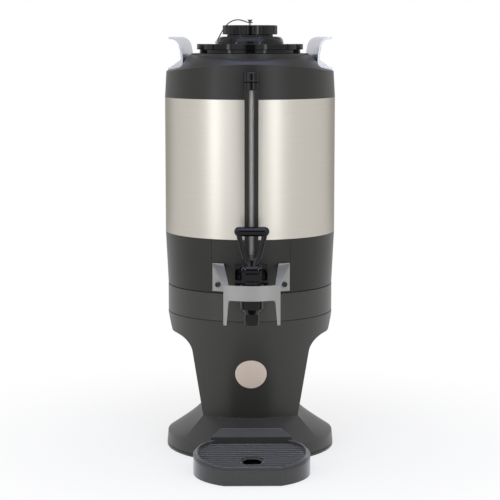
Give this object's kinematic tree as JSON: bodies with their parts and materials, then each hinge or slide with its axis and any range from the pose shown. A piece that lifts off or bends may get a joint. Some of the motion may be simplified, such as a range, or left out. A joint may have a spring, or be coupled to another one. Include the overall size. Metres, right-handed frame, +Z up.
{
  "type": "insulated coffee server",
  "caption": "Insulated coffee server with lever faucet, sight gauge and tethered fill cap, on a pedestal stand with a drip tray.",
  "frame": {"origin": "centre of the base plate's underside, on the floor and on the server's axis", "axes": "+Z up along the server's axis; the faucet and drip tray face -Y; +X is to the right seen from the front"},
  "size_m": [0.23, 0.342, 0.5824],
  "materials": {
    "satin_black_plastic": "fine moulded texture",
    "gloss_black_plastic": "polished",
    "brushed_stainless": "brushed round the body",
    "satin_silver": "satin",
    "badge_metal": "warm satin",
    "screw_steel": "zinc plated",
    "clear_tube": "clear",
    "silicone": "soft matt",
    "coated_cord": "coated"
  },
  "bodies": {
    "stand": {"stand_column": "satin_black_plastic", "base_plate": "satin_black_plastic", "base_screws": "screw_steel", "cradle_ring": "satin_black_plastic", "badge": "badge_metal"},
    "server": {"bottom_skirt": "satin_black_plastic", "skirt_front_panel": "satin_black_plastic", "body_shell": "brushed_stainless", "server_bottom_pan": "satin_black_plastic", "bottom_screws": "screw_steel", "top_shoulder": "satin_black_plastic", "handle_left": "satin_silver", "handle_right": "satin_silver", "handle_screws": "screw_steel", "flask_outer": "brushed_stainless", "flask_inner": "brushed_stainless", "flask_neck_seal": "silicone", "outlet_gasket": "silicone", "faucet_escutcheon": "gloss_black_plastic", "faucet_shank": "brushed_stainless", "shank_nut": "gloss_black_plastic", "faucet_body": "gloss_black_plastic", "faucet_bonnet": "gloss_black_plastic", "faucet_pin": "brushed_stainless", "gauge_shield": "satin_black_plastic", "gauge_tube": "clear_tube", "gauge_bottom_seal": "silicone", "gauge_collar": "gloss_black_plastic", "faucet_guard": "satin_silver", "guard_screws": "screw_steel"},
    "gauge_cap": {"gauge_cap": "gloss_black_plastic"},
    "lever": {"faucet_lever": "gloss_black_plastic"},
    "stem": {"faucet_stem": "gloss_black_plastic", "seat_cup": "silicone"},
    "lid": {"lid": "gloss_black_plastic", "lid_plug": "gloss_black_plastic", "lid_gasket": "silicone", "tether_stud": "screw_steel", "tether": "coated_cord"},
    "cap_post": {"cap_post": "screw_steel", "tether_eye": "coated_cord"},
    "fill_cap": {"fill_cap": "gloss_black_plastic", "cap_gasket": "silicone"},
    "tray": {"drip_tray": "satin_black_plastic"},
    "grille": {"drip_grille": "gloss_black_plastic"}
  },
  "joints": [
    {"name": "server_lift", "type": "slide", "parent": "stand", "child": "server", "axis": [0, 0, 1], "range_m": [0, 0.06]},
    {"name": "gauge_cap_lift", "type": "slide", "parent": "server", "child": "gauge_cap", "axis": [0, 0, 1], "range_m": [0, 0.03]},
    {"name": "lever_pull", "type": "hinge", "parent": "server", "child": "lever", "pos_m": [0, -0.1616, 0.2642], "axis": [1, 0, 0], "range_deg": [0, 35], "stiffness_Nm_per_rad": 0.6},
    {"name": "stem_lift", "type": "slide", "parent": "server", "child": "stem", "axis": [0, 0, 1], "range_m": [0, 0.006]},
    {"name": "lid_lift", "type": "slide", "parent": "server", "child": "lid", "axis": [0, 0, 1], "range_m": [0, 0.08]},
    {"name": "cap_lift", "type": "slide", "parent": "lid", "child": "cap_post", "axis": [0, 0, 1], "range_m": [0, 0.01], "deforming": ["tether"]},
    {"name": "cap_turn", "type": "hinge", "parent": "cap_post", "child": "fill_cap", "pos_m": [0, 0, 0.5621], "axis": [0, 0, 1], "range_deg": [0, 720]},
    {"name": "tray_slide", "type": "slide", "parent": "stand", "child": "tray", "axis": [0, -1, 0], "range_m": [0, 0.1]},
    {"name": "grille_lift", "type": "slide", "parent": "tray", "child": "grille", "axis": [0, 0, 1], "range_m": [0, 0.03]}
  ],
  "couplings": [
    {"joint": "stem_lift", "follows": "lever_pull", "m_per_rad": 0.009821},
    {"joint": "cap_lift", "follows": "cap_turn", "m_per_rad": 0.0007957}
  ]
}
